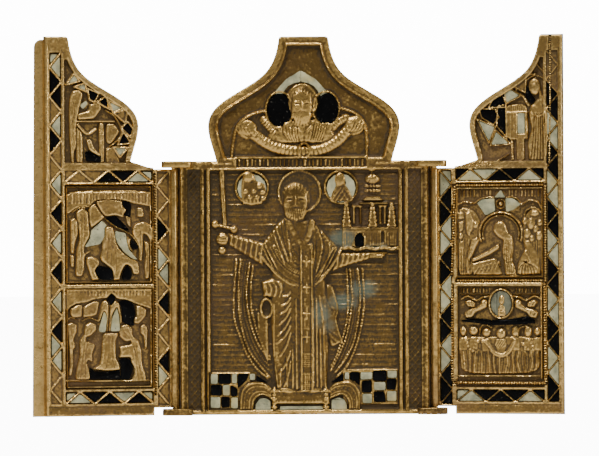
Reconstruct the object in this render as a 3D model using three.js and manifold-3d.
// Folding altarpiece of three cast leaves: a centre leaf with an ogee headpiece
// and two wings that turn on pins in its lugs. Front faces -Y, +Z is up.
import * as THREE from 'three';
import { mergeVertices } from 'three/addons/utils/BufferGeometryUtils.js';
import Module from 'manifold-3d';

// Driving dimensions, in millimetres and degrees
const LEAF_WIDTH = 93.3; // centre leaf, edge to edge
const BODY_HEIGHT = 94.8; // foot of the leaf to its shoulders
const HEAD_HEIGHT = 46.5; // ogee headpiece above the shoulders
const HEAD_WIDTH = 71.6; // headpiece where it bulges most
const LEAF_FLOOR = 2.4; // centre leaf, metal behind its sunk fields
const LEAF_RELIEF = 2.1; // centre leaf, floor to the top of the relief
const RIM_WIDTH = 3.2; // rim of the centre leaf
const RIDGE_WIDTH = 1.3; // inner ridge of a rim
const RIDGE_STEP = 0.7; // ridge above the rest of the rim
const EDGE_WIDTH = 2.2; // plain edge down the sides and foot of the body
const LATTICE_WIDTH = 5.8; // hatched strip beside the field
const BAR_WIDTH = 1.1; // each of the two bars between strip and field
const BAR_GAP = 0.8; // groove between those bars
const TITLE_HEIGHT = 3.4; // band of strokes across the shoulders
const TITLE_WIDTH = 49; // length of that band
const FIGURE_HEIGHT = 80; // standing figure, sole to crown
const FIGURE_OFFSET = -2; // figure's axis beside the leaf's middle
const STOOL_HEIGHT = 5.2; // footstool bar under the figure
const STOOL_WIDTH = 21; // footstool, end to end
const CHECKER_WIDTH = 15.6; // chequered floor in each lower corner
const CHECKER_HEIGHT = 13.6; // chequered floor, foot to top
const MEDALLION_RADIUS = 6.5; // round medals beside the head
const OVAL_WIDTH = 9; // dark ovals in the headpiece
const OVAL_HEIGHT = 12.4; // their height
const WALL = 0.6; // thin ribs that hold the enamel
const ENAMEL_DEPTH = 0.9; // thickness of the enamel fill
const ENAMEL_FIT = 0.1; // room round an enamel fill
const AXIS_OUT = 2.05; // hinge axis beyond the side of the leaf
const AXIS_FRONT = 4.3; // hinge axis in front of the leaf's back
const PIN_RADIUS = 0.9; // pin at each end of a wing's rod
const PIN_CLEARANCE = 0.3; // room round the pin in its lug
const ROD_RADIUS = 1.15; // rod down the hinge edge of a wing
const LUG_THICKNESS = 2.4; // hinge lug, bottom to top
const LUG_WIDTH = 11.4; // hinge lug, side to side
const LUG_REACH = 8.8; // hinge lug's front, from the leaf's back
const LUG_OUT = 4.5; // hinge lug beyond the axis
const LUG_GAP = 0.5; // wing above and below a lug
const WING_FLOOR = 1.8; // wing, metal behind its sunk fields
const WING_RELIEF = 1.6; // wing, floor to the top of its ribs
const WING_GAP = 0.4; // between the wings' edges when both are shut
const NOTCH_WIDTH = 7.3; // corner of a wing cut back for a lug
const COLUMN_WIDTH = 4.6; // columns and bands of triangles
const ZIGZAG_PITCH = 5.4; // one triangle to the next
const FOOT_BAR = 4; // plain bar along the foot of a wing
const LIP_THICKNESS = 0.9; // cover strip on the left wing
const LIP_FOOT = 4.6; // its width at the foot
const LIP_TOP = 3.5; // its width at the top
const WING_TURN = 14; // wings turned forward of flat, degrees

const wasm = await Module();
wasm.setup();

const RELIEF_TOP = LEAF_FLOOR + LEAF_RELIEF;
const HEIGHT = BODY_HEIGHT + HEAD_HEIGHT;
const HALF = LEAF_WIDTH / 2;
const HINGE_X = HALF + AXIS_OUT;
const SINK = 0.3;

// Turning three.js geometry into closed bodies
function body(geometry) {
  const loose = geometry.index ? geometry.toNonIndexed() : geometry;
  loose.deleteAttribute('normal');
  loose.deleteAttribute('uv');
  const merged = mergeVertices(loose, 1e-4);
  const index = Array.from(merged.index.array);
  const kept = [];
  for (let i = 0; i < index.length; i += 3) {
    const [a, b, c] = index.slice(i, i + 3);
    if (a !== b && b !== c && c !== a) kept.push(a, b, c);
  }
  return new wasm.Manifold(new wasm.Mesh({
    numProp: 3,
    vertProperties: new Float32Array(merged.attributes.position.array),
    triVerts: new Uint32Array(kept),
  }));
}

function joined(bodies) {
  return bodies.reduce((sum, next) => sum.add(next));
}

function node(name, manifold, colour, metalness, roughness) {
  const out = manifold.getMesh();
  const geometry = new THREE.BufferGeometry();
  const flat = new THREE.BufferAttribute(new Float32Array(out.vertProperties), 3);
  geometry.setAttribute('position', flat);
  geometry.setIndex(Array.from(out.triVerts));
  geometry.computeVertexNormals();
  const material = new THREE.MeshStandardMaterial({ color: colour, metalness, roughness });
  const mesh = new THREE.Mesh(geometry, material);
  mesh.name = name;
  return mesh;
}

const shape = (points) => new THREE.Shape(points.map(([x, z]) => new THREE.Vector2(x, z)));

// A flat slab seen from the front, between two distances from the back
function slab(points, back, front) {
  const options = { depth: front - back, bevelEnabled: false, steps: 1 };
  const geometry = new THREE.ExtrudeGeometry(shape(points), options);
  geometry.rotateX(Math.PI / 2);
  geometry.translate(0, -back, 0);
  return body(geometry);
}

// A raised form with a rounded shoulder, its foot sunk in the metal behind
function raised(points, floor, height, round = 0.5) {
  if (!round) return slab(points, floor - SINK, floor + height);
  const bevel = Math.min(round, height * 0.8);
  const geometry = new THREE.ExtrudeGeometry(shape(points), {
    depth: height + SINK - bevel,
    bevelThickness: bevel,
    bevelSize: bevel,
    bevelOffset: -bevel,
    bevelSegments: 1,
    steps: 1,
  });
  geometry.rotateX(Math.PI / 2);
  geometry.translate(0, SINK - floor, 0);
  return body(geometry);
}

const rect = (x0, z0, x1, z1) => [[x0, z0], [x1, z0], [x1, z1], [x0, z1]];

function ring(cx, cz, rx, rz, count, from = 0, to = Math.PI * 2) {
  const points = [];
  const closed = to - from > Math.PI * 1.999;
  const steps = closed ? count : count + 1;
  for (let i = 0; i < steps; i += 1) {
    const a = from + ((to - from) * i) / count;
    points.push([cx + rx * Math.cos(a), cz + rz * Math.sin(a)]);
  }
  return points;
}

// A dome of low relief, the front part of a ball
function dome(cx, cz, rx, rz, floor, height, around = 8, down = 4) {
  const ball = new THREE.SphereGeometry(1, around, down);
  ball.rotateX(Math.PI / 2);
  ball.scale(rx, height, rz);
  ball.translate(cx, -floor, cz);
  return body(ball);
}

// A rib of rounded section along points, standing `lift` above a floor and rooted in it
function rib(points, floor, width, height, lift = 0, steps = 0) {
  const path = new THREE.CatmullRomCurve3(
    points.map(([x, z]) => new THREE.Vector3(x, -floor - lift, z)),
  );
  const half = width / 2;
  const root = -lift - SINK;
  const outline = [[height, 0], [height * 0.5, half * 0.85], [root, half], [root, -half],
    [height * 0.5, -half * 0.85]];
  const section = new THREE.Shape(outline.map(([a, b]) => new THREE.Vector2(a, b)));
  const geometry = new THREE.ExtrudeGeometry(section, {
    steps: steps || points.length - 1, bevelEnabled: false, extrudePath: path,
  });
  return body(geometry);
}

// A flat-topped band of even width that follows a line of points
function strip(points, width) {
  const unit = (a, b) => new THREE.Vector2(b[0] - a[0], b[1] - a[1]).normalize();
  const left = [];
  const right = [];
  points.forEach((point, i) => {
    const a = unit(points[Math.max(i - 1, 0)], points[Math.max(i, 1)]);
    const last = points.length - 1;
    const b = unit(points[Math.min(i, last - 1)], points[Math.min(i + 1, last)]);
    const across = new THREE.Vector2(-a.y - b.y, a.x + b.x);
    across.multiplyScalar(width / 2 / (1 + a.dot(b)));
    left.push([point[0] + across.x, point[1] + across.y]);
    right.push([point[0] - across.x, point[1] - across.y]);
  });
  return left.concat(right.reverse());
}

// Moves every side of a closed outline inwards by the same distance
function inset(points, distance) {
  const count = points.length;
  let area = 0;
  points.forEach(([x, z], i) => {
    const [nx, nz] = points[(i + 1) % count];
    area += x * nz - nx * z;
  });
  const turn = area > 0 ? 1 : -1;
  return points.map((point, i) => {
    const before = points[(i + count - 1) % count];
    const after = points[(i + 1) % count];
    const a = new THREE.Vector2(point[0] - before[0], point[1] - before[1]).normalize();
    const b = new THREE.Vector2(after[0] - point[0], after[1] - point[1]).normalize();
    const na = new THREE.Vector2(-a.y, a.x).multiplyScalar(turn);
    const nb = new THREE.Vector2(-b.y, b.x).multiplyScalar(turn);
    const sum = na.clone().add(nb);
    const scale = (2 * distance) / Math.max(sum.lengthSq(), 0.8);
    return [point[0] + sum.x * scale, point[1] + sum.y * scale];
  });
}

// The ogee edge from shoulder to tip, in shares of the headpiece
function ogee(divisions, cut = true) {
  const line = new THREE.Shape();
  const w = HEAD_WIDTH / 2;
  const h = HEAD_HEIGHT;
  const go = (a, b, c, d, e, f) => line.bezierCurveTo(a * w, b * h, c * w, d * h, e * w, f * h);
  line.moveTo(0.916 * w, 0);
  go(0.94, 0.09, 1, 0.19, 1, 0.28);
  go(1, 0.39, 0.89, 0.456, 0.774, 0.514);
  go(0.628, 0.585, 0.48, 0.639, 0.397, 0.71);
  go(0.313, 0.78, 0.277, 0.875, 0.26, 0.976);
  const points = line.getPoints(divisions).map((p) => [p.x, p.y + BODY_HEIGHT]);
  if (cut) points.push([0.232 * w, HEIGHT]);
  else points[points.length - 1] = [0.26 * w, HEIGHT];
  return points;
}

const mirror = (points) => points.map(([x, z]) => [-x, z]).reverse();

// Centre leaf
function leafOutline(divisions) {
  const side = ogee(divisions);
  return [[-HALF, 0], [HALF, 0], [HALF, BODY_HEIGHT], ...side, ...mirror(side), [-HALF, BODY_HEIGHT]];
}

function headOutline(foot, distance) {
  const side = ogee(4, false);
  side[0] = [side[0][0], foot];
  return inset([...side, ...mirror(side)], distance);
}

function lug(side, foot) {
  const out = HINGE_X + LUG_OUT;
  const inner = out - LUG_WIDTH;
  const back = LEAF_FLOOR / 2;
  const corner = LUG_WIDTH * 0.36;
  const plan = new THREE.Shape();
  plan.moveTo(side * inner, back);
  plan.lineTo(side * inner, LUG_REACH - corner);
  plan.quadraticCurveTo(side * inner, LUG_REACH, side * (inner + corner), LUG_REACH);
  plan.lineTo(side * (out - corner), LUG_REACH);
  plan.quadraticCurveTo(side * out, LUG_REACH, side * out, LUG_REACH - corner);
  plan.lineTo(side * out, back);
  const geometry = new THREE.ExtrudeGeometry(plan, {
    depth: LUG_THICKNESS, bevelEnabled: false, steps: 1, curveSegments: 3,
  });
  geometry.scale(1, -1, 1);
  const order = geometry.attributes.position;
  for (let i = 0; i < order.count; i += 3) {
    const a = new THREE.Vector3().fromBufferAttribute(order, i);
    const b = new THREE.Vector3().fromBufferAttribute(order, i + 1);
    order.setXYZ(i, b.x, b.y, b.z);
    order.setXYZ(i + 1, a.x, a.y, a.z);
  }
  geometry.translate(0, 0, foot);
  const sides = 12;
  const reach = (PIN_RADIUS + PIN_CLEARANCE) / Math.cos(Math.PI / sides);
  const hole = new THREE.CylinderGeometry(reach, reach, LUG_THICKNESS * 3, sides);
  hole.rotateX(Math.PI / 2);
  hole.translate(side * HINGE_X, -AXIS_FRONT, foot + LUG_THICKNESS / 2);
  return body(geometry).subtract(body(hole));
}

const STRIP_IN = HALF - EDGE_WIDTH - LATTICE_WIDTH;
const FIELD_HALF = STRIP_IN - 2 * BAR_WIDTH - BAR_GAP - 0.4;
const FIELD_TOP = BODY_HEIGHT - TITLE_HEIGHT;
const FLOOR = LEAF_FLOOR;
const HEAD_FOOT = BODY_HEIGHT + WALL * 2;
const HEAD_MIDDLE = BODY_HEIGHT + HEAD_HEIGHT * 0.41;

function centreFrame() {
  const rimTop = RELIEF_TOP - RIDGE_STEP;
  const plate = slab(leafOutline(4), 0, rimTop);
  const headRidge = slab(headOutline(HEAD_FOOT - RIM_WIDTH, RIM_WIDTH - RIDGE_WIDTH), FLOOR, RELIEF_TOP);
  const bodyRidge = slab(rect(-STRIP_IN, EDGE_WIDTH, STRIP_IN, FIELD_TOP), FLOOR, RELIEF_TOP - 0.4);
  const bodyHollow = slab(rect(-FIELD_HALF, EDGE_WIDTH, FIELD_HALF, FIELD_TOP - WALL), FLOOR, 9);
  const headHollow = slab(headOutline(HEAD_FOOT - RIM_WIDTH, RIM_WIDTH), FLOOR, 9);
  const title = slab(rect(-TITLE_WIDTH / 2, FIELD_TOP + WALL / 2,
    TITLE_WIDTH / 2, BODY_HEIGHT - WALL / 2), FLOOR + 0.5, 9);
  let leaf = plate.add(headRidge).add(bodyRidge);
  leaf = leaf.subtract(bodyHollow).subtract(headHollow).subtract(title);
  for (const side of [-1, 1]) {
    const groove = STRIP_IN - BAR_WIDTH;
    leaf = leaf.subtract(slab(rect(side * groove, EDGE_WIDTH + WALL,
      side * (groove - BAR_GAP), FIELD_TOP - WALL * 2), FLOOR + 0.5, 9));
    leaf = leaf.subtract(slab(rect(side * (STRIP_IN + WALL / 2), EDGE_WIDTH,
      side * (HALF - EDGE_WIDTH), FIELD_TOP - WALL), FLOOR + 0.7, 9));
    for (const foot of [0, BODY_HEIGHT - LUG_THICKNESS]) leaf = leaf.add(lug(side, foot));
  }
  return leaf;
}

// Headpiece: half-length figure, roof, ovals and the hanging cloth
function headRelief() {
  const u = HEAD_HEIGHT / 46;
  const z0 = BODY_HEIGHT;
  const at = (points) => points.map(([x, z]) => [x * u, z0 + z * u]);
  const parts = [];
  const ovalTop = LEAF_RELIEF * 0.72;
  for (const side of [-1, 1]) {
    const x = side * (OVAL_WIDTH / 2 + 4.4 * u);
    const wall = WALL + ENAMEL_FIT;
    const outer = ring(x, HEAD_MIDDLE, OVAL_WIDTH / 2 + wall, OVAL_HEIGHT / 2 + wall, 14);
    parts.push(raised(outer, FLOOR, ovalTop, 0));
  }
  parts.push(raised(at([[-11.7, 6.5], [10.6, 6.5], [11.2, 10], [7.5, 14], [3, 16.5], [-3.6, 16.5],
    [-8.5, 14], [-12.2, 10.2]]), FLOOR, LEAF_RELIEF * 0.6, 0.6));
  parts.push(dome(0, z0 + 23.2 * u, 5.7 * u, 6.4 * u, FLOOR, LEAF_RELIEF * 0.62, 10, 4));
  parts.push(dome(0, z0 + 21.6 * u, 4 * u, 5.8 * u, FLOOR, LEAF_RELIEF * 0.95, 8, 6));
  parts.push(dome(0, z0 + 15.6 * u, 3.2 * u, 4.6 * u, FLOOR, LEAF_RELIEF * 0.82, 8, 4));
  for (const side of [-1, 1]) {
    parts.push(rib(at([[side * 4.5, 15], [side * 7, 12], [side * 8.2, 7.5]]), FLOOR, 1.2 * u, 0.7, 1.1));
    parts.push(dome(side * 20.6 * u, z0 + 12.2 * u, 1.9 * u, 1.9 * u, FLOOR, LEAF_RELIEF * 0.8, 6, 4));
  }
  parts.push(rib(at([[-20.6, 11.4], [-16, 7.6], [-9, 4.8], [0, 3.9], [9, 5], [15.6, 8.2], [19.6, 12]]),
    FLOOR, 3.5 * u, LEAF_RELIEF * 0.78, 0, 8));
  parts.push(rib(at([[-26, 3], [-25.2, 10], [-23, 14], [-20, 17], [-14.8, 18.6]]), FLOOR, 1.1 * u, 0.9));
  parts.push(rib(at([[23.2, 2], [23.4, 10], [22, 14.4], [19, 17.6], [13.2, 19.4]]), FLOOR, 1.1 * u, 0.9));
  parts.push(raised(at([[-25.5, 0.6], [24.5, 0.6], [24.5, 2], [-25.5, 2]]), FLOOR, LEAF_RELIEF * 0.7, 0));
  parts.push(raised(strip(at([[-11, 26.4], [-0.9, 34.6], [9.4, 25.8]]), 1.2 * u), FLOOR, 1.3, 0));
  return joined(parts);
}

// Standing figure, drawn on a grid eighty units high from sole to crown
function standing() {
  const u = FIGURE_HEIGHT / 80;
  const x0 = FIGURE_OFFSET;
  const z0 = EDGE_WIDTH + STOOL_HEIGHT;
  const at = (points) => points.map(([x, z]) => [x0 + x * u, z0 + z * u]);
  const top = (share) => LEAF_RELIEF * share;
  const parts = [];
  const halo = [0.2, 75.6];
  parts.push(raised(at(ring(...halo, 8.3, 8.3, 16)), FLOOR, top(0.45), 0));
  // Cloak and shoulders
  parts.push(raised(at([[-5.5, 67], [-9, 63.5], [-13.6, 57.6], [-15.2, 55.6], [-14, 51.8], [-9.8, 46.2],
    [-10.8, 38], [-11, 30], [5.8, 30], [6.8, 42], [9, 46.8], [14.6, 54.4], [11.6, 59], [6.6, 64],
    [3.4, 67]]), FLOOR, top(0.62), 0.7));
  // Long robe down to the stool
  parts.push(raised(at([[-10.2, 44], [-11.4, 30], [-11.2, 16], [-9.8, 5], [-8.4, 0.6], [9.6, 0.6],
    [10.5, 10], [10.4, 30], [8.6, 44]]), FLOOR, top(0.72), 0.8));
  // Stole down the middle, crossed at the collar
  parts.push(raised(at([[0, 54], [5.2, 54], [5.4, 25], [5.2, 0.8], [0.2, 0.8], [-0.2, 25]]),
    FLOOR, top(0.88), 0));
  parts.push(rib(at([[-4.4, 64.6], [-0.6, 60], [3.4, 54.6]]), FLOOR, 2.2 * u, 0.9, 0.9));
  parts.push(rib(at([[5, 64.4], [3.4, 60], [1.2, 54.6]]), FLOOR, 2.2 * u, 0.9, 0.9));
  // Cloak edges falling from the shoulders
  parts.push(rib(at([[-14.8, 56], [-12.2, 50.8], [-9.2, 46.8]]), FLOOR, 1.4 * u, 0.8, 0.8));
  parts.push(rib(at([[-10.6, 58], [-5.4, 48.4]]), FLOOR, 1.2 * u, 0.7, 0.9));
  parts.push(rib(at([[-7.6, 61], [-1.6, 50.4]]), FLOOR, 1.1 * u, 0.6, 0.9));
  parts.push(rib(at([[14.2, 54.4], [10.2, 47.6], [6.8, 42.2]]), FLOOR, 1.4 * u, 0.8, 0.8));
  parts.push(rib(at([[10.4, 59.2], [6.2, 47.6]]), FLOOR, 1.1 * u, 0.7, 0.8));
  // Folds of the robe
  for (const [x, lean, from, to] of [[-8.2, 1.8, 4, 34], [-4.2, 2.4, 3, 37], [7.6, 0.3, 3, 37]]) {
    parts.push(rib(at([[x - lean, from], [x + lean, to]]),
      FLOOR, 1.3 * u, 0.7, top(0.6)));
  }
  // Gathered cloth at the hip with its loop
  parts.push(raised(at([[-14.4, 37], [-9, 35.4], [-6.4, 38.6], [-6.8, 43], [-11, 43.6], [-14.4, 41.4]]),
    FLOOR, top(0.86), 0.7));
  parts.push(rib(at([[-13.6, 36], [-14.6, 32], [-12.6, 28.6], [-10.4, 31.6], [-11, 35.6]]),
    FLOOR, 1.3 * u, 1.1, 0.2));
  // Sleeve and hand that hold the sword
  parts.push(raised(at([[-30.6, 55.2], [-26, 54.2], [-15.4, 48.6], [-12, 52], [-15, 57.4], [-25.8, 59.8],
    [-30.4, 60]]), FLOOR, top(0.66), 0.7));
  for (const [x, z, reach] of [[-23.6, 56.6, 2.6], [-19, 54.6, 3.2]]) {
    parts.push(rib(at([[x + 0.5, z + reach], [x - 0.5, z], [x - 0.9, z - reach]]),
      FLOOR, 1.2 * u, 1, 0.6));
  }
  parts.push(dome(x0 - 28.8 * u, z0 + 57.8 * u, 2.6 * u, 2.7 * u, FLOOR, top(0.9), 8, 4));
  parts.push(raised(at([[-30, 63.4], [-27.9, 62.9], [-27.2, 83.4], [-29.4, 83.6]]),
    FLOOR, top(0.7), 0));
  parts.push(rib(at([[-31, 63.8], [-28, 62.9], [-24.9, 62]]), FLOOR, 1.4 * u, top(0.75), 0, 2));
  for (const [x, z] of [[-31.2, 63.9], [-24.6, 61.9], [-28.8, 54]]) {
    parts.push(dome(x0 + x * u, z0 + z * u, 1.6 * u, 1.6 * u, FLOOR, top(0.8), 6, 4));
  }
  // Arm, sleeve and hand under the model city
  parts.push(raised(at([[10.4, 46], [14.6, 46.8], [25.8, 50.2], [27, 53.4], [14.8, 54], [11.6, 52]]),
    FLOOR, top(0.66), 0.6));
  for (const x of [16, 20.8]) {
    parts.push(rib(at([[x, 47.2 + (x - 15) * 0.33], [x + 1.5, 50.4], [x + 1.7, 53.2]]),
      FLOOR, 1.1 * u, 0.9, 0.6));
  }
  parts.push(raised(at([[26.4, 50.6], [31.8, 50.6], [32.4, 52.6], [26.6, 53.4]]), FLOOR, top(0.75), 0));
  // Head with hair and beard
  parts.push(dome(x0 - 1.1 * u, z0 + 73.6 * u, 5.8 * u, 6.8 * u, FLOOR, top(0.78), 10, 4));
  parts.push(dome(x0 - 1.1 * u, z0 + 73 * u, 4.3 * u, 6 * u, FLOOR, top(0.98), 8, 6));
  parts.push(dome(x0 - 1 * u, z0 + 67.4 * u, 3.7 * u, 4.4 * u, FLOOR, top(0.88), 8, 4));
  return joined(parts);
}

// Model of a walled city with a domed church, carried on the hand
function city() {
  const u = FIGURE_HEIGHT / 80;
  const x0 = FIGURE_OFFSET + 27 * u;
  const z0 = EDGE_WIDTH + STOOL_HEIGHT + 54 * u;
  const at = (points) => points.map(([x, z]) => [x0 + x * u, z0 + z * u]);
  const low = LEAF_RELIEF * 0.5;
  const mid = LEAF_RELIEF * 0.64;
  const high = LEAF_RELIEF * 0.8;
  const parts = [];
  const box = (a, b, c, d, height) => parts.push(raised(at(rect(a, b, c, d)), FLOOR, height, 0));
  box(-10.4, -0.4, 9.6, 1.2, high);
  box(-10.6, 1.2, 10.4, 8.2, low);
  for (const [x, wide] of [[-8.9, 3.4], [0.7, 3.9], [7.8, 3.3]]) box(x - wide / 2, 7.6, x + wide / 2, 16.6, mid);
  for (const x of [-5.1, 4.4]) {
    box(x - 1, 8.4, x + 1, 15.6, mid);
    box(x - 1.5, 15, x + 1.5, 16.6, high);
  }
  box(-4, 16.2, 6.2, 17.2, high);
  parts.push(raised(at([[-3.4, 17], [5, 17], [3.6, 19.2], [-2, 19.2]]), FLOOR, mid, 0));
  box(-1.3, 19, 3, 23.4, low);
  const onion = ring(0.85, 25.6, 2.8, 2.3, 10);
  parts.push(raised(at(onion), FLOOR, high, 0.6));
  parts.push(raised(at([[0.4, 27], [1.3, 27], [1.2, 29.8], [0.5, 29.8]]), FLOOR, mid, 0));
  return joined(parts);
}

// Gate of the city, sunk for its enamel
function gate(room) {
  const u = FIGURE_HEIGHT / 80;
  const x = FIGURE_OFFSET + 22.4 * u;
  const z = EDGE_WIDTH + STOOL_HEIGHT + 55.4 * u;
  const wide = 1.7 * u + room;
  const arch = ring(x, z + 2.6 * u, wide, 1.9 * u + room, 8, 0, Math.PI);
  return [[x - wide, z - room], [x + wide, z - room], ...arch.slice(0, -1), [x - wide, z + 2.6 * u]];
}

// Rays of glory: two beaded bands that curve in to the stool
function glory() {
  const u = FIGURE_HEIGHT / 80;
  const x0 = FIGURE_OFFSET;
  const z0 = EDGE_WIDTH + STOOL_HEIGHT;
  const parts = [];
  for (const side of [-1, 1]) {
    for (const [reach, foot, wide] of [[24, 1, 2], [19.6, 8, 1.8]]) {
      const line = [];
      for (let i = 0; i <= 6; i += 1) {
        const a = (i / 6) * 1.12;
        const z = z0 + (foot + (39 - foot) * (1 - Math.sin(a) / Math.sin(1.12))) * u;
        line.push([x0 + side * reach * Math.cos(a * 0.98) * u, z]);
      }
      parts.push(slab(strip(line, wide * u), FLOOR - SINK, FLOOR + LEAF_RELIEF * 0.42));
    }
  }
  return joined(parts);
}

// Two round medals with busts
const MEDAL_Z = BODY_HEIGHT - TITLE_HEIGHT - MEDALLION_RADIUS - 0.4;
const MEDAL_X = [-19.5, 13.8].map((x) => (x * LEAF_WIDTH) / 93.3);

const MEDAL_WELL = MEDALLION_RADIUS - WALL * 1.6;

function bust(x, room) {
  const half = [[0.42, -0.58], [0.4, -0.2], [0.16, -0.02], [0.28, 0.3], [0.18, 0.58]];
  const sized = half.map(([a, b]) => [a * MEDALLION_RADIUS, b * MEDALLION_RADIUS]);
  const outline = [...sized, ...mirror(sized)];
  return (room ? inset(outline, -room) : outline).map(([a, b]) => [x + a, MEDAL_Z + b]);
}

function medals() {
  const r = MEDALLION_RADIUS;
  const parts = [];
  for (const x of MEDAL_X) {
    const disc = slab(ring(x, MEDAL_Z, r, r, 12), FLOOR - SINK, FLOOR + LEAF_RELIEF * 0.62);
    const well = slab(ring(x, MEDAL_Z, MEDAL_WELL, MEDAL_WELL, 12), FLOOR, 9);
    parts.push(disc.subtract(well));
    parts.push(raised(bust(x, 0), FLOOR, LEAF_RELIEF * 0.66, 0.3));
  }
  return joined(parts);
}

// Sunk frame of a chequered floor
function checker(side) {
  const span = (from, to) => rect(Math.min(side * from, side * to), EDGE_WIDTH - SINK,
    Math.max(side * from, side * to), EDGE_WIDTH + CHECKER_HEIGHT);
  const top = FLOOR + LEAF_RELIEF * 0.5;
  const pad = slab(span(FIELD_HALF - CHECKER_WIDTH, FIELD_HALF + SINK), FLOOR - SINK, top);
  const well = span(FIELD_HALF - CHECKER_WIDTH + WALL, FIELD_HALF);
  const fill = well.map(([x, z]) => [x, z > EDGE_WIDTH ? z - WALL : EDGE_WIDTH]);
  return pad.subtract(slab(fill, FLOOR, 9));
}

// Footstool, volutes and chequered floors
function ground() {
  const parts = [];
  const x0 = FIGURE_OFFSET;
  const half = STOOL_WIDTH / 2;
  const foot = EDGE_WIDTH;
  const top = foot + STOOL_HEIGHT;
  parts.push(raised(rect(x0 - half, top - STOOL_HEIGHT * 0.72, x0 + half, top + 1), FLOOR,
    LEAF_RELIEF * 0.78, 0));
  for (const side of [-1, 1]) {
    const x = x0 + side * (half - 1.1);
    parts.push(raised(rect(x - 1.2, foot - SINK, x + 1.2, top + 1.6), FLOOR, LEAF_RELIEF * 0.9, 0));
    const cx = x0 + side * (half + 7);
    const arch = ring(cx, foot + 2.6, 5.4, 5.4, 6, 0, Math.PI);
    parts.push(rib(arch, FLOOR, 1.5, LEAF_RELIEF * 0.62, 0, 6));
    parts.push(checker(side));
  }
  return joined(parts);
}

function enamelOval(side, room) {
  const x = side * (OVAL_WIDTH / 2 + (4.4 * HEAD_HEIGHT) / 46);
  return ring(x, HEAD_MIDDLE, OVAL_WIDTH / 2 + room, OVAL_HEIGHT / 2 + room, 14);
}

function centreLeaf() {
  let leaf = centreFrame().add(glory()).add(ground()).add(headRelief()).add(standing()).add(city());
  for (const side of [-1, 1]) {
    const cover = dome(0, BODY_HEIGHT + (21.6 * HEAD_HEIGHT) / 46, 4 * (HEAD_HEIGHT / 46), 9, FLOOR, 3);
    leaf = leaf.subtract(slab(enamelOval(side, ENAMEL_FIT), FLOOR, 9).subtract(cover));
  }
  for (const x of MEDAL_X) leaf = leaf.subtract(slab(ring(x, MEDAL_Z, MEDAL_WELL, MEDAL_WELL, 12), FLOOR, 9));
  return leaf.subtract(slab(gate(ENAMEL_FIT), FLOOR, 9)).add(medals());
}

// Wings: ribs, bands and scenes
function zigzag(from, to, low, high, vertical) {
  const span = to - from;
  const count = Math.max(2, Math.round(span / ZIGZAG_PITCH));
  const points = [];
  for (let i = 0; i <= count; i += 1) {
    const along = from + (span * i) / count;
    const across = i % 2 ? high : low;
    points.push(vertical ? [across, along] : [along, across]);
  }
  return points;
}

function figureRelief(floor, height, x, foot, tall, lean = 0, round = 0.4) {
  const s = tall / 30;
  const at = (points) => points.map(([a, b]) => [x + (a + (lean * b) / 30) * s, foot + b * s]);
  return raised(at([[-3.8, 0], [3.8, 0], [4, 16], [1.7, 23.4], [2.1, 27.4], [0, 29.8], [-2.1, 27.4],
    [-1.7, 23.4], [-4, 16]]), floor, height * 0.82, round);
}

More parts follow.
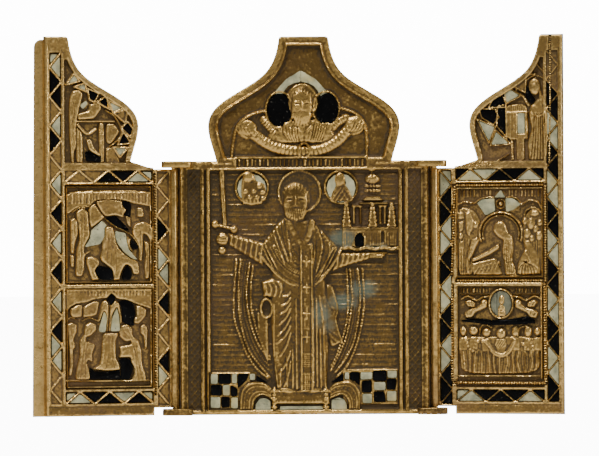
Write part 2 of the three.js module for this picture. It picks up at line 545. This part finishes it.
function wing(side) {
  const floor = WING_FLOOR;
  const top = WING_FLOOR + WING_RELIEF;
  const mid = WING_RELIEF * 0.8;
  const flip = (points) => points.map(([u, z]) => [side * u, z]);
  const edge = HINGE_X - WING_GAP / 2;
  const bottom = LUG_THICKNESS + LUG_GAP;
  const shoulder = BODY_HEIGHT - LUG_THICKNESS - LUG_GAP;
  const curve = ogee(4).map(([x, z]) => [HINGE_X - x, z]);
  const outline = [[-ROD_RADIUS, bottom], [NOTCH_WIDTH, bottom], [NOTCH_WIDTH, 0], [edge, 0],
    [edge, HEIGHT], ...curve.reverse(), [NOTCH_WIDTH, shoulder + 0.6], [NOTCH_WIDTH, shoulder],
    [-ROD_RADIUS, shoulder]];
  let leaf = slab(flip(outline), 0, top);

  // Sunk fields, between ribs of the full height
  const outerIn = edge - 1.7 - COLUMN_WIDTH;
  const innerOut = NOTCH_WIDTH - 1.1;
  const bandTop = shoulder - 0.4;
  const bandFoot = FOOT_BAR + COLUMN_WIDTH + WALL * 2;
  const fieldIn = NOTCH_WIDTH + 0.4;
  const fieldOut = outerIn - WALL * 1.6;
  const fieldTop = bandTop - COLUMN_WIDTH - WALL;
  const middle = (fieldTop + bandFoot + WALL) / 2;
  const headFoot = BODY_HEIGHT - 0.6;
  const wells = [
    rect(1.5, bottom + 0.8, innerOut, shoulder - 0.8),
    rect(outerIn, FOOT_BAR + WALL, edge - 1.7, HEIGHT - 6),
    rect(fieldIn, bandTop - COLUMN_WIDTH, fieldOut, bandTop),
    rect(fieldIn, FOOT_BAR + WALL, fieldOut, FOOT_BAR + WALL + COLUMN_WIDTH),
    rect(fieldIn, bandFoot + WALL * 0.4, fieldOut, middle - WALL),
    rect(fieldIn, middle + WALL, fieldOut, fieldTop),
  ];
  for (const well of wells) leaf = leaf.subtract(slab(flip(well), floor, 9));
  // Ogee field with its curved row of cells
  const closed = ogee(4, false).map(([x, z]) => [HINGE_X - x, z]).reverse();
  const rim = inset([[fieldOut + 2.2, HEIGHT], ...closed.slice(1), [fieldOut + 2.2, BODY_HEIGHT]], 2.2);
  const row = inset(rim, COLUMN_WIDTH);
  const line = rim.slice(1, -1);
  const inner = [];
  for (const point of row.slice(1, -1)) {
    const last = inner[inner.length - 1];
    if (!last || point[1] < last[1] - WALL * 2) inner.push(point);
  }
  const cells = [[fieldOut, HEIGHT - 6], ...line.filter(([, z]) => z < HEIGHT - 6),
    [line[line.length - 1][0], headFoot], [fieldOut, headFoot]];
  leaf = leaf.subtract(slab(flip(cells), floor, 9));
  const parts = [];
  const bow = inner.filter(([, z]) => z > headFoot + 1 && z < HEIGHT - 8);
  parts.push(slab(flip(strip(bow, WALL)), floor - SINK, top - 0.1));
  const nearest = ([x, z], i) => bow.reduce((best, [a, b], j) => (
    Math.hypot(a - x, b - z) < Math.hypot(bow[best][0] - x, bow[best][1] - z) ? j : best), 0) + (i % 2);
  line.filter(([, z], i) => i % 2 && z < HEIGHT - 7 && z > headFoot + 1).forEach((from, i) => {
    const to = bow[Math.min(nearest(from, i), bow.length - 2)];
    const reach = WALL / Math.hypot(to[0] - from[0], to[1] - from[1]);
    const start = [from[0] - (to[0] - from[0]) * reach, from[1] - (to[1] - from[1]) * reach];
    parts.push(slab(flip(strip([start, to], WALL)), floor - SINK, top - 0.2));
  });

  // Zigzag ribs between the triangles
  const runs = [
    zigzag(bottom + 0.8, shoulder - 0.8, 1.5, innerOut, true),
    zigzag(FOOT_BAR + WALL, HEIGHT - 6, outerIn, edge - 1.7, true),
    zigzag(fieldIn, fieldOut, bandTop - COLUMN_WIDTH, bandTop, false),
    zigzag(fieldIn, fieldOut, FOOT_BAR + WALL, FOOT_BAR + WALL + COLUMN_WIDTH, false),
  ];
  for (const run of runs) parts.push(slab(flip(strip(run, WALL)), floor - SINK, top - 0.15));
  const panel = {
    left: fieldIn, right: fieldOut, wide: fieldOut - fieldIn, low: bandFoot + WALL * 0.4,
    lowTop: middle - WALL, up: middle + WALL, upTop: fieldTop, head: headFoot,
  };
  parts.push(...(side > 0 ? rightScenes : leftScenes)(panel, floor, mid, flip));
  leaf = leaf.add(joined(parts));

  // Rod and pins of the hinge
  const turned = (radius, from, to, sides) => {
    const post = new THREE.CylinderGeometry(radius, radius, to - from, sides);
    post.rotateX(Math.PI / 2);
    post.translate(0, -AXIS_FRONT, (from + to) / 2);
    return body(post);
  };
  leaf = leaf.add(turned(ROD_RADIUS, bottom, shoulder, 12));
  leaf = leaf.add(turned(PIN_RADIUS, 0.2, BODY_HEIGHT - 0.2, 12));
  leaf = leaf.add(slab(flip(rect(-ROD_RADIUS * 0.7, bottom, ROD_RADIUS * 0.7, shoulder)), top - SINK,
    AXIS_FRONT));
  if (side < 0) {
    const cover = [[edge - 1, 0], [edge + LIP_FOOT, 0], [edge + LIP_TOP, HEIGHT - 1], [edge - 1, HEIGHT - 1]];
    leaf = leaf.add(slab(flip(cover), 0, LIP_THICKNESS));
  } else {
    const start = HINGE_X - (LIP_FOOT + WING_GAP / 2) - 0.6;
    const rebate = rect(start, -1, edge + 9, HEIGHT + 9);
    leaf = leaf.subtract(slab(flip(rebate), -9, LIP_THICKNESS + PIN_CLEARANCE));
  }
  return leaf;
}

// Left wing: a hermit by a hut; a crowd round a central figure; a church altar
function leftScenes(p, floor, mid, flip) {
  const parts = [];
  const add = (points, share = 0.8, round = 0) => parts.push(raised(flip(points), floor, mid * share, round));
  const person = (share, foot, tall, lean = 0) => {
    const u = p.left + p.wide * share;
    const sign = flip([[1, 0]])[0][0];
    parts.push(figureRelief(floor, mid, sign * u, foot, tall, sign * lean));
  };
  const at = (share) => p.left + p.wide * share;
  const upper = p.upTop - p.up;
  const lower = p.lowTop - p.low;
  person(0.88, p.head, 27);
  add([[at(0.36), p.head], [at(0.42), p.head], [at(0.42), p.head + 15], [at(0.36), p.head + 15]]);
  add([[at(0.34), p.head + 14.6], [at(0.8), p.head + 14.6], [at(0.8), p.head + 16], [at(0.34), p.head + 16]]);
  add([[at(0.66), p.head], [at(0.76), p.head], [at(0.76), p.head + 11], [at(0.66), p.head + 13]]);
  person(0.93, p.up, upper * 0.62);
  person(0.78, p.up, upper * 0.66);
  person(0.5, p.up, upper * 0.6);
  person(0.14, p.up, upper * 0.68);
  person(0.27, p.up, upper * 0.5, 3);
  add([[p.left, p.upTop - upper * 0.17], [p.right, p.upTop - upper * 0.17],
    [p.right, p.upTop - upper * 0.13], [p.left, p.upTop - upper * 0.13]]);
  add([[at(0.3), p.up + upper * 0.62], [at(0.34), p.up + upper * 0.6], [at(0.66), p.up + upper * 0.78],
    [at(0.62), p.up + upper * 0.81]]);
  const arch = [[0.72, 0.5], [0.68, 0.68], [0.58, 0.8], [0.47, 0.93], [0.37, 0.8], [0.27, 0.68], [0.23, 0.5]];
  const roof = arch.map(([a, b]) => [at(a), p.low + lower * b]);
  add(strip(roof, 1.5), 0.9);
  add([[at(0.4), p.low], [at(0.64), p.low], [at(0.6), p.low + lower * 0.2], [at(0.6), p.low + lower * 0.48],
    [at(0.42), p.low + lower * 0.48], [at(0.42), p.low + lower * 0.2]], 0.8);
  person(0.94, p.low, lower * 0.66);
  person(0.76, p.low, lower * 0.64);
  person(0.18, p.low, lower * 0.6, 4);
  return parts;
}

// Right wing: a robed figure by a building; a figure under an arch; flying figures
function rightScenes(p, floor, mid, flip) {
  const parts = [];
  const add = (points, share = 0.8, round = 0) => parts.push(raised(flip(points), floor, mid * share, round));
  const person = (share, foot, tall, lean = 0, round = 0.4) => {
    parts.push(figureRelief(floor, mid, p.left + p.wide * share, foot, tall, lean, round));
  };
  const at = (share) => p.left + p.wide * share;
  const upper = p.upTop - p.up;
  const lower = p.lowTop - p.low;
  person(0.9, p.head, 30);
  add([[at(0.58), p.head], [at(0.78), p.head], [at(0.78), p.head + 21], [at(0.58), p.head + 21]], 0.7);
  add([[at(0.56), p.head + 20.4], [at(0.8), p.head + 20.4], [at(0.8), p.head + 22], [at(0.56), p.head + 22]]);
  add([[at(0.24), p.head], [at(0.3), p.head], [at(0.3), p.head + 12], [at(0.24), p.head + 12]]);
  const cx = at(0.52);
  const cz = p.up + upper * 0.5;
  const arch = ring(cx, cz, upper * 0.2, upper * 0.2, 12, -0.4, Math.PI + 0.4);
  parts.push(raised(flip(strip(arch, 1.3)), floor, mid * 0.85, 0.3));
  add([[at(0.25), p.upTop - upper * 0.26], [at(0.51), p.upTop - upper * 0.04],
    [at(0.74), p.upTop - upper * 0.26]], 0.7);
  person(0.58, p.up, upper * 0.62, -4);
  person(0.83, p.up, upper * 0.6);
  person(0.95, p.up, upper * 0.54);
  person(0.06, p.up, upper * 0.6);
  person(0.2, p.up, upper * 0.56);
  add([[at(0.18), p.up + upper * 0.2], [at(0.2), p.up + upper * 0.15], [at(0.5), p.up + upper * 0.38],
    [at(0.48), p.up + upper * 0.43]]);
  parts.push(raised(flip(ring(at(0.5), p.low + lower * 0.82, 2.4, 2.9, 14)), floor, mid * 0.9, 0.5));
  for (const s of [-1, 1]) {
    const body = [[0.08, 0.86], [0.14, 0.9], [0.3, 0.8], [0.44, 0.68], [0.36, 0.64], [0.2, 0.72]];
    add(body.map(([a, b]) => [at(0.5 + s * a), p.low + lower * b]), 0.8);
  }
  add([[at(0.05), p.low + lower * 0.56], [at(0.95), p.low + lower * 0.56], [at(0.95), p.low + lower * 0.62],
    [at(0.05), p.low + lower * 0.62]], 0.7);
  const folk = [0.08, 0.2, 0.34, 0.5, 0.65, 0.82, 0.94];
  for (const share of folk) person(share, p.low, lower * 0.56, 0, 0);
  const cloth = [[0.32, 0.42], [0.38, 0.3], [0.5, 0.25], [0.62, 0.3], [0.7, 0.42]];
  add(strip(cloth.map(([a, b]) => [at(a), p.low + lower * b]), 1.5), 1);
  return parts;
}

// The frame's origin lies in the leaf's foot, a little in front of its back
const root = new THREE.Group();
root.name = 'triptych_altarpiece';
const stand = new THREE.Group();
stand.name = 'stand';
stand.position.y = LEAF_FLOOR / 2;
root.add(stand);
const BRASS = 0x9a8046;
const BLACK = 0x14161c;
const WHITE = 0xcfd3c0;

stand.add(node('centre_leaf', centreLeaf(), BRASS, 1, 0.45));

// Enamel in the largest wells of the centre leaf
const fillTop = LEAF_FLOOR + ENAMEL_DEPTH;
for (const [side, name] of [[-1, 'left'], [1, 'right']]) {
  const fill = slab(enamelOval(side, 0), FLOOR, fillTop);
  const clear = dome(0, BODY_HEIGHT + (21.6 * HEAD_HEIGHT) / 46, 6.2 * (HEAD_HEIGHT / 46), 9.4, FLOOR, 6);
  stand.add(node(`enamel_oval_${name}`, fill.subtract(clear), BLACK, 0, 0.25));
}
stand.add(node('enamel_gate', slab(gate(0), FLOOR, fillTop), BLACK, 0, 0.25));

for (const [i, name] of [[0, 'left'], [1, 'right']]) {
  const reach = MEDAL_WELL - ENAMEL_FIT;
  const disc = slab(ring(MEDAL_X[i], MEDAL_Z, reach, reach, 12), FLOOR, fillTop);
  const clear = slab(bust(MEDAL_X[i], ENAMEL_FIT), 0, 9);
  stand.add(node(`enamel_medal_${name}`, disc.subtract(clear), WHITE, 0, 0.3));
}

for (const [side, name] of [[-1, 'left_wing'], [1, 'right_wing']]) {
  const turn = new THREE.Group();
  turn.name = `${name}_turn`;
  turn.position.set(side * HINGE_X, -AXIS_FRONT, 0);
  turn.rotation.z = THREE.MathUtils.degToRad(-side * WING_TURN);
  const mesh = node(name, wing(side), BRASS, 1, 0.45);
  mesh.geometry.translate(0, AXIS_FRONT, 0);
  turn.add(mesh);
  stand.add(turn);
}

export default root;
